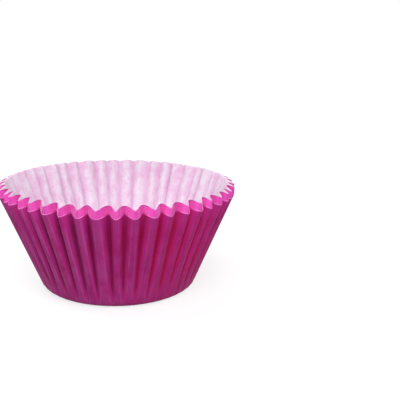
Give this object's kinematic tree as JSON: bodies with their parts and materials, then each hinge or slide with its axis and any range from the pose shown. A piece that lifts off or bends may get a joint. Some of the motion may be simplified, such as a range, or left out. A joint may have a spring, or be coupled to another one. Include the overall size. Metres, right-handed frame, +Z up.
{
  "type": "stack of cupcake liners",
  "caption": "Nested stack of fluted pink paper baking cups, pale inside, open at the top, to line a muffin tin.",
  "frame": {"origin": "centre of the outermost liner's base, on the surface that the stack stands on", "axes": "+Z up along the stack's axis, towards the open mouth; +X through the middle of a pleat's crest"},
  "size_m": [0.076, 0.076, 0.0347],
  "materials": {
    "pink_paper": "matte"
  },
  "bodies": {
    "root": {"liner_1": "pink_paper", "liner_2": "pink_paper", "liner_3": "pink_paper", "liner_4": "pink_paper", "liner_5": "pink_paper", "liner_6": "pink_paper", "liner_7": "pink_paper", "liner_8": "pink_paper"}
  },
  "joints": []
}
